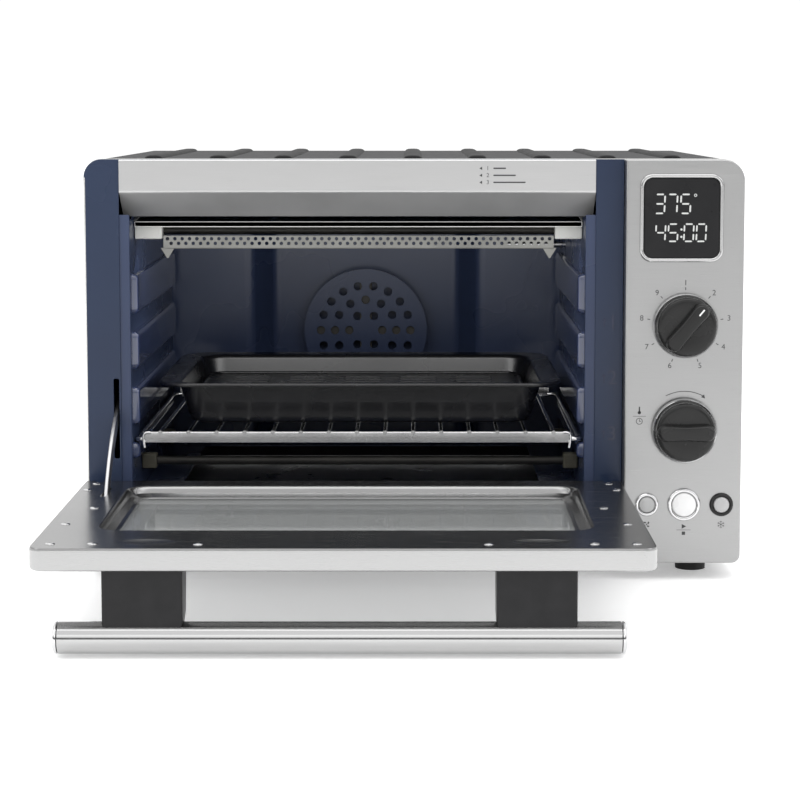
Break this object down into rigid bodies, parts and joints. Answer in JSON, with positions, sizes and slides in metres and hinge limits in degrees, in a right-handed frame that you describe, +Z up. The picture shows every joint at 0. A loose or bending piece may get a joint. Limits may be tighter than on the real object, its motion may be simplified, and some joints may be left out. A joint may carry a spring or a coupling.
{
  "type": "toaster oven",
  "caption": "Countertop convection toaster oven with a drop-down glass door and bar handle, knobs, push buttons, wire rack, roasting pan and crumb tray.",
  "frame": {"origin": "on the table, under the middle of the oven's box with the door open", "axes": "+Z up, -Y out of the oven's front, +X to the right seen from the front"},
  "size_m": [0.47, 0.594, 0.304],
  "materials": {
    "stainless": "horizontal brushed grain",
    "door_inner": "satin pressed stainless",
    "polished_metal": "polished",
    "plain_steel": "plain zinc plated",
    "case_coating": "dark grey powder coat",
    "blue_enamel": "glossy vitreous enamel",
    "black_enamel": "glossy vitreous enamel",
    "element": "dark oxidised sheath",
    "ceramic": "white ceramic",
    "bush": "olive ceramic",
    "black_plastic": "satin black",
    "button_plastic": "translucent grey",
    "display": "dark liquid crystal",
    "window": "clear tempered",
    "rubber": "matte",
    "board": "fibreglass"
  },
  "bodies": {
    "chassis": {"base_pan": "plain_steel", "outer_cover": "case_coating", "rear_cover": "case_coating", "front_frame": "blue_enamel", "top_visor": "stainless", "cavity_left_wall": "blue_enamel", "cavity_right_wall": "blue_enamel", "cavity_ceiling": "blue_enamel", "cavity_floor": "blue_enamel", "cavity_back_wall": "blue_enamel", "left_rack_guides": "blue_enamel", "right_rack_guides": "blue_enamel", "fan_motor": "plain_steel", "fan_grille": "blue_enamel", "upper_elements": "element", "lower_elements": "element", "upper_element_blocks": "ceramic", "lower_element_bushes": "bush", "heat_reflector": "plain_steel", "heater_guard": "plain_steel", "temperature_probe": "plain_steel", "control_panel": "stainless", "display_bezel": "polished_metal", "display_window": "window", "display_module": "display", "circuit_boards": "board", "selector_encoder": "black_plastic", "setter_encoder": "black_plastic", "button_rings": "polished_metal", "hinge_ears": "plain_steel", "tray_rails": "plain_steel", "feet": "rubber", "cord_gland": "black_plastic", "case_screws": "plain_steel", "arm_spring": "plain_steel"},
    "door": {"door_shell": "stainless", "door_inner_frame": "door_inner", "door_outer_glass": "window", "door_inner_glass": "window", "window_seal": "rubber", "door_screws": "polished_metal", "hinge_pins": "plain_steel", "handle_bar": "polished_metal", "handle_end_caps": "polished_metal", "handle_brackets": "black_plastic"},
    "door_arm": {"door_arm": "plain_steel"},
    "rack": {"wire_rack": "polished_metal"},
    "pan": {"roasting_pan": "black_enamel"},
    "insert": {"grill_insert": "black_enamel"},
    "crumb_tray": {"crumb_tray": "plain_steel", "crumb_tray_front": "plain_steel"},
    "selector": {"selector_knob": "black_plastic", "selector_ring": "polished_metal"},
    "setter_rotor": {"setter_rotor": "plain_steel"},
    "setter": {"setter_knob": "black_plastic", "setter_ring": "polished_metal"},
    "fan_button": {"fan_button": "button_plastic"},
    "start_button": {"start_button": "button_plastic"},
    "frozen_button": {"frozen_button": "button_plastic"},
    "fan": {"fan_blade": "plain_steel"}
  },
  "joints": [
    {"name": "door_hinge", "type": "hinge", "parent": "chassis", "child": "door", "pos_m": [-0.0425, -0.0575, 0.0615], "axis": [-1, 0, 0], "range_deg": [0, 90]},
    {"name": "door_arm_pivot", "type": "hinge", "parent": "door", "child": "door_arm", "pos_m": [-0.2122, -0.104, 0.065], "axis": [-1, 0, 0], "range_deg": [-68, 0], "deforming": ["arm_spring"]},
    {"name": "rack_slide", "type": "slide", "parent": "chassis", "child": "rack", "axis": [0, 1, 0], "range_m": [-0.2, 0]},
    {"name": "pan_slide", "type": "slide", "parent": "rack", "child": "pan", "axis": [0, 1, 0], "range_m": [-0.24, 0]},
    {"name": "insert_lift", "type": "slide", "parent": "pan", "child": "insert", "axis": [0, 0, 1], "range_m": [0, 0.05]},
    {"name": "crumb_tray_slide", "type": "slide", "parent": "chassis", "child": "crumb_tray", "axis": [0, 1, 0], "range_m": [-0.19, 0]},
    {"name": "selector_turn", "type": "hinge", "parent": "chassis", "child": "selector", "pos_m": [0.1938, -0.06, 0.184], "axis": [0, -1, 0], "continuous": true},
    {"name": "setter_turn", "type": "hinge", "parent": "chassis", "child": "setter_rotor", "pos_m": [0.1938, -0.06, 0.109], "axis": [0, -1, 0], "continuous": true},
    {"name": "setter_push", "type": "slide", "parent": "setter_rotor", "child": "setter", "axis": [0, 1, 0], "range_m": [0, 0.0015], "stiffness_N_per_m": 250, "springref_m": -0.002},
    {"name": "fan_button_press", "type": "slide", "parent": "chassis", "child": "fan_button", "axis": [0, 1, 0], "range_m": [0, 0.0015], "stiffness_N_per_m": 250, "springref_m": -0.002},
    {"name": "start_button_press", "type": "slide", "parent": "chassis", "child": "start_button", "axis": [0, 1, 0], "range_m": [0, 0.0015], "stiffness_N_per_m": 250, "springref_m": -0.002},
    {"name": "frozen_button_press", "type": "slide", "parent": "chassis", "child": "frozen_button", "axis": [0, 1, 0], "range_m": [0, 0.0015], "stiffness_N_per_m": 250, "springref_m": -0.002},
    {"name": "fan_spin", "type": "hinge", "parent": "chassis", "child": "fan", "pos_m": [-0.04, 0.257, 0.15], "axis": [0, 1, 0], "continuous": true}
  ],
  "couplings": [
    {"joint": "door_arm_pivot", "follows": "door_hinge", "ratio": -0.75}
  ]
}
